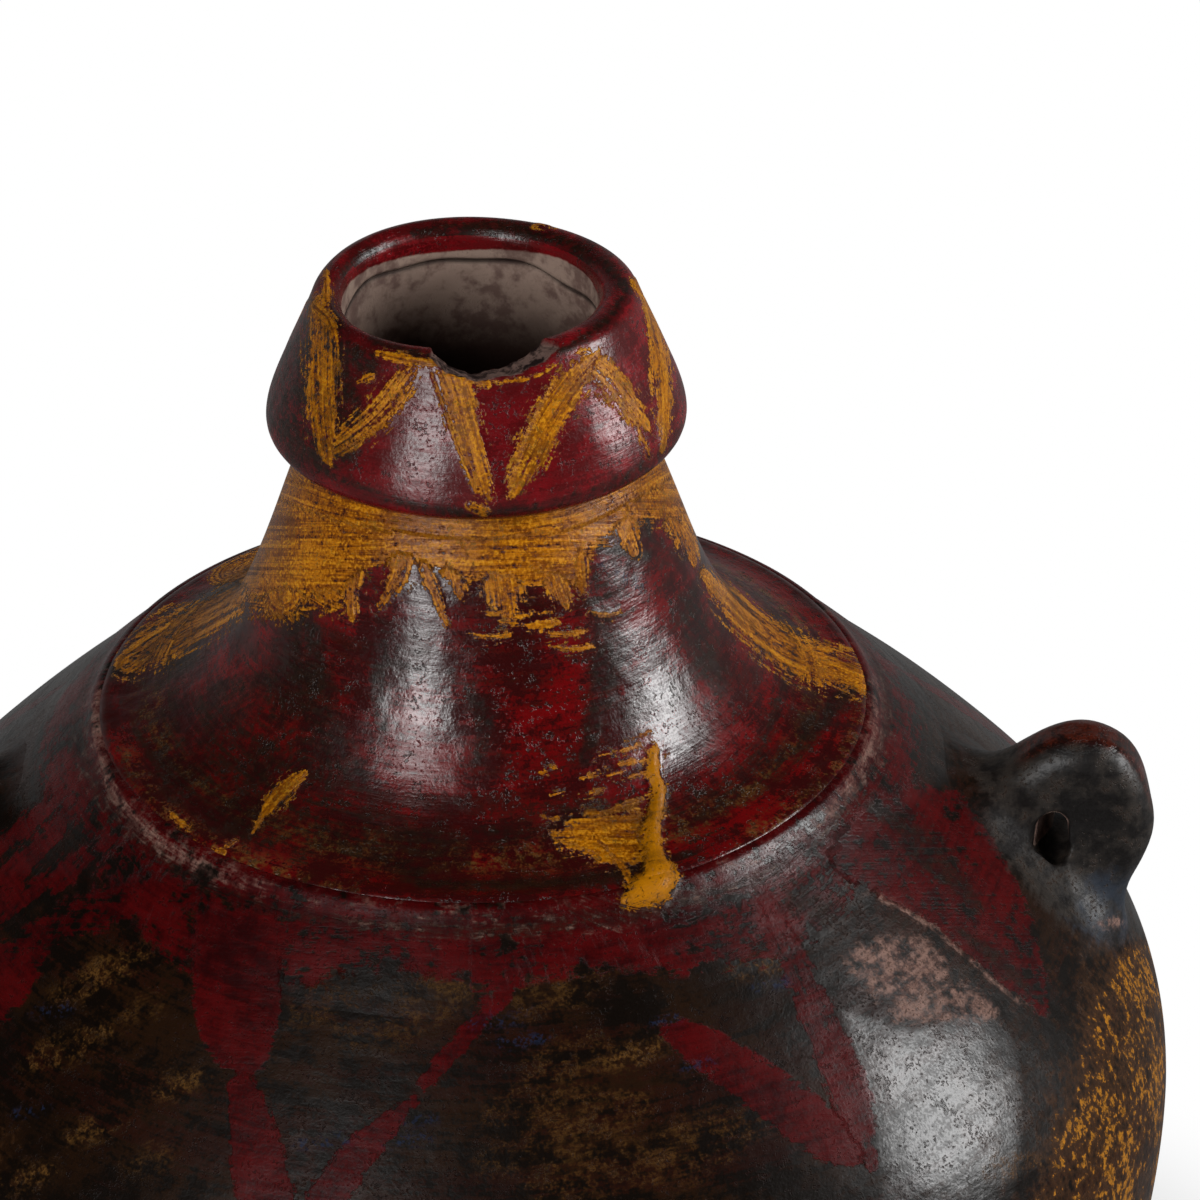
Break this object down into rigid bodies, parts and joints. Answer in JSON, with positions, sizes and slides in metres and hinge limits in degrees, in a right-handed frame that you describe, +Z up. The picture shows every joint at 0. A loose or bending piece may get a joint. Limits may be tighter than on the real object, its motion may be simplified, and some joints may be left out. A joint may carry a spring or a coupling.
{
  "type": "clay olla",
  "caption": "Round-bellied clay water jar with a flared neck cone, a wedge-shaped mouth collar and pierced lugs on the shoulder.",
  "frame": {"origin": "on the table under the jar's axis", "axes": "+Z up along the jar's axis, the two lugs on the X axis, the pictured side towards -Y"},
  "size_m": [0.43, 0.43, 0.4744],
  "materials": {
    "body_clay": "burnished, smoked and worn, with red and ochre strokes",
    "neck_slip": "burnished red slip with ochre brushwork",
    "collar_slip": "burnished red slip with an ochre zigzag",
    "lug_clay": "smoked, blue-black, worn red along the edge"
  },
  "bodies": {
    "root": {"lower_bowl": "body_clay", "shoulder_dome": "body_clay", "lute_coil": "body_clay", "neck_cone": "neck_slip", "mouth_collar": "collar_slip", "lug_right": "lug_clay", "lug_left": "lug_clay"}
  },
  "joints": []
}
